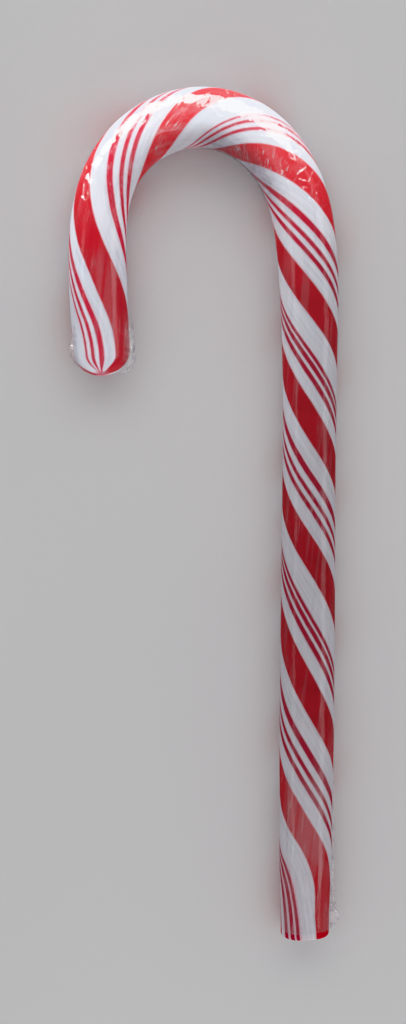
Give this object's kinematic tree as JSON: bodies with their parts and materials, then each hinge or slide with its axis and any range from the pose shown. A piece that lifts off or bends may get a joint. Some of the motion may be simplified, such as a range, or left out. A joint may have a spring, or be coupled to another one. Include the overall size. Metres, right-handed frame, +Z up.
{
  "type": "candy cane",
  "caption": "Striped hard candy cane with a long straight leg and a rounded crook, in clear film that fits tightly and stands loose at the crook's tip and along a short seam.",
  "frame": {"origin": "on the surface the cane lies on, under the middle of its bounding box", "axes": "+Y from the cut foot to the top of the crook, +X towards the straight leg, +Z up from the table"},
  "size_m": [0.1212, 0.3768, 0.0262],
  "materials": {
    "candy": "glossy hard sugar, red stripes on white",
    "film": "clear shiny film"
  },
  "bodies": {
    "root": {"candy_cane": "candy", "film_seam": "film", "film_tip_cuff": "film"}
  },
  "joints": []
}
